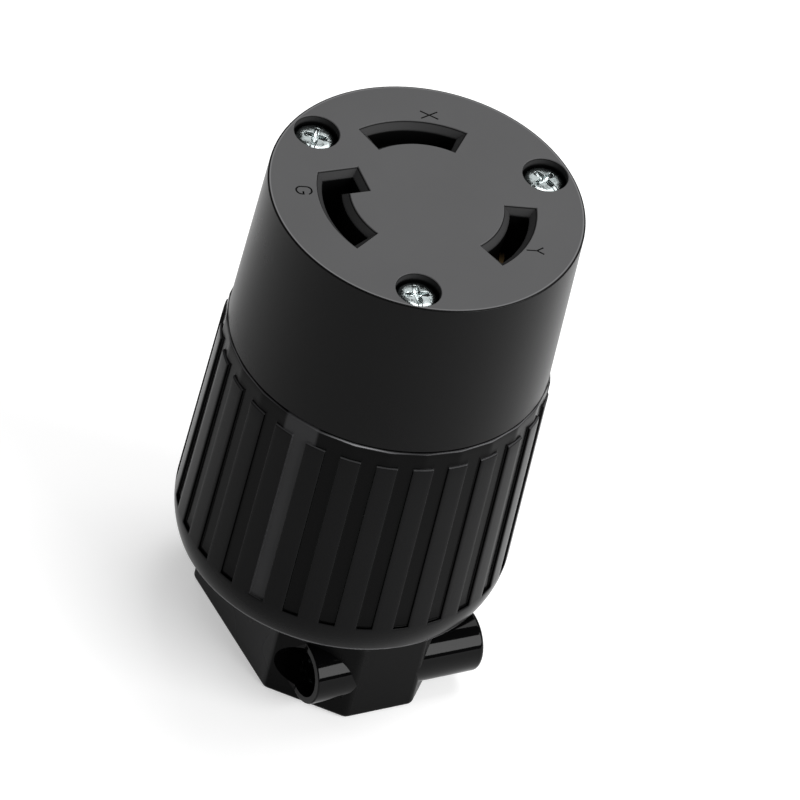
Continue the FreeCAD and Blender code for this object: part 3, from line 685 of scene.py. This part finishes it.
# Inserts, contacts and wire clamp plates: turned brass inserts, contacts pressed from
# brass strip, and plated steel plates, all as their solids have them.
def worked_metal(name, dark, light, roughness, stretch, depth):
    """A metal with drawn or rolled lines, a noise pattern stretched along one way, over
    a cloudy tarnish that changes both its colour and its gloss. Depth is the lines' own,
    and the tarnish has twice as much."""
    line_size, tarnish_size = 0.00025, 0.004
    dull, bright = 1.3 * roughness, 0.8 * roughness
    material, tree, shader, place = fresh(name)
    shader.inputs["Metallic"].default_value = 1.0
    squeeze = node_of(tree, "ShaderNodeMapping", Scale=stretch)
    tree.links.new(place, squeeze.inputs["Vector"])
    drawn = noise(tree, squeeze.outputs["Vector"], line_size, detail=3.0, rough=0.6)
    tarnish = noise(tree, place, tarnish_size, detail=4.0, rough=0.6)
    tree.links.new(blend_colour(tree, tarnish, dark, light), shader.inputs["Base Color"])
    tree.links.new(spread(tree, tarnish, dull, bright), shader.inputs["Roughness"])
    bumps(tree, shader, [(tarnish, depth * 2), (drawn, depth)])
    return material


# The contacts' brass is much darker than the turned brass: painted shade, as they stand deep down the
# slots.
shaded_strip_brass = worked_metal(
    "shaded_strip_brass", (0.09, 0.06, 0.025), (0.18, 0.12, 0.055), roughness=0.45,
    stretch=(1, 1, 0.06), depth=0.000004)
turned_brass = worked_metal(
    "turned_brass", (0.50, 0.35, 0.14), (0.72, 0.54, 0.26), roughness=0.28,
    stretch=(1, 1, 1), depth=0.000003)
plated_plate = worked_metal(
    "plated_plate", (0.42, 0.42, 0.43), (0.62, 0.62, 0.62), roughness=0.32,
    stretch=(0.1, 1, 1), depth=0.000004)
for name in nodes:
    if "insert" in name:
        finish_node(name, turned_brass)
    if name in ("contact_x", "contact_y", "contact_ground"):
        finish_node(name, shaded_strip_brass)
    if name.startswith("clamp_plate"):
        finish_node(name, plated_plate)

# Stage: a pale floor that the neck's rim stands on, with a pale surround. The camera
# sees both of them nearly white, and the mouldings reflect them darker. Soft lamps
# stand about it.
floor_half = 6.0
floor_grey = 0.74
floor_lift = {"seen": 0.4, "mirrored": 0.2}
world_light = {"seen": 1.0, "around": 0.35, "mirrored": 0.1}
floor_mesh = bpy.data.meshes.new("floor")
floor_corners = np.array([(-1, -1, 0), (1, -1, 0), (1, 1, 0), (-1, 1, 0)], float) * floor_half
floor_mesh.from_pydata(floor_corners.tolist(), [], [(0, 1, 2, 3)])
floor = bpy.data.objects.new("floor", floor_mesh)
bpy.context.scene.collection.objects.link(floor)


def by_ray(tree, kind, otherwise, given):
    """One value for the named kind of ray, and another for every other ray."""
    path = tree.nodes.new("ShaderNodeLightPath")
    return spread(tree, path.outputs[kind], otherwise, given)


pale = bpy.data.materials.new("pale_floor")
pale.use_nodes = True
tree = pale.node_tree
shader = tree.nodes["Principled BSDF"]
shader.inputs["Base Color"].default_value = (floor_grey, floor_grey, floor_grey, 1)
shader.inputs["Roughness"].default_value = 1.0
shader.inputs["Specular IOR Level"].default_value = 0.0
shader.inputs["Emission Color"].default_value = (1, 1, 1, 1)
seen = by_ray(tree, "Is Camera Ray", 0.0, floor_lift["seen"])
mirrored = by_ray(tree, "Is Glossy Ray", 0.0, floor_lift["mirrored"])
tree.links.new(worked_out(tree, "ADD", seen, mirrored), shader.inputs["Emission Strength"])
floor_mesh.materials.append(pale)

world = bpy.data.worlds.new("surround")
bpy.context.scene.world = world
world.use_nodes = True
tree = world.node_tree
background = tree.nodes["Background"]
background.inputs["Color"].default_value = (1, 1, 1, 1)
seen = by_ray(tree, "Is Camera Ray", world_light["around"], world_light["seen"])
mirrored = by_ray(tree, "Is Glossy Ray", 1.0, world_light["mirrored"])
tree.links.new(worked_out(tree, "MULTIPLY", seen, mirrored), background.inputs["Strength"])


def direction(azimuth, elevation):
    """The unit way out to an azimuth and an elevation, both in degrees: the cosine of the
    elevation shared by the azimuth's cosine and sine, and the elevation's sine."""
    turn, rise = math.radians(azimuth), math.radians(elevation)
    return (math.cos(rise) * math.cos(turn), math.cos(rise) * math.sin(turn), math.sin(rise))


def soft_lamp(name, azimuth, elevation, distance, size, power, height=0.05):
    """An oblong softbox that faces the connector from a direction given in degrees, with
    its distance, size and height in metres and its power in watts."""
    lamp = bpy.data.lights.new(name, "AREA")
    lamp.shape = "RECTANGLE"
    lamp.size, lamp.size_y = size
    lamp.energy = power
    way = Vector(direction(azimuth, elevation))
    holder = bpy.data.objects.new(name, lamp)
    holder.location = way * distance + Vector((0, 0, height))
    holder.rotation_euler = way.to_track_quat("Z", "Y").to_euler()
    holder.visible_camera = False
    bpy.context.scene.collection.objects.link(holder)


soft_lamp("key_lamp", azimuth=-61, elevation=24, distance=1.0, size=(0.9, 0.55), power=12)
soft_lamp("over_lamp", azimuth=6, elevation=64, distance=1.2, size=(0.5, 0.85), power=5)
soft_lamp("back_lamp", azimuth=53, elevation=46, distance=1.3, size=(0.9, 0.5), power=2.5)
soft_lamp("top_lamp", azimuth=53, elevation=77, distance=1.2, size=(0.3, 0.25), power=2)

# Camera: a long lens far off, raised over the face between slot Y and the ground slot,
# and rolled a little. It is aimed under the face's middle, so the whole connector is in
# the picture.
camera_roll = math.radians(15.071)
camera_distance = 5.0
field_width = 0.12572
look_right = -0.00424
look_down = 0.03168
away = Vector(direction(azimuth=-126.643, elevation=42.456))
level_way = Vector((0, 0, 1)).cross(away).normalized()
rise_way = away.cross(level_way)
right = level_way * math.cos(camera_roll) + rise_way * math.sin(camera_roll)
down_way = level_way * math.sin(camera_roll) - rise_way * math.cos(camera_roll)
face_middle = Vector((0, 0, cad_high[2]))
target = face_middle + right * look_right + down_way * look_down
lens = bpy.data.cameras.new("camera")
lens.sensor_width = 10.0
lens.clip_start = 0.1
lens.clip_end = 100.0
lens.lens = lens.sensor_width * camera_distance / field_width
camera = bpy.data.objects.new("camera", lens)
camera_place = Matrix((right, -down_way, away)).transposed().to_4x4()
camera_place.translation = target + away * camera_distance
camera.matrix_world = camera_place
bpy.context.scene.collection.objects.link(camera)
bpy.context.scene.camera = camera
bpy.context.scene.view_settings.view_transform = "Standard"
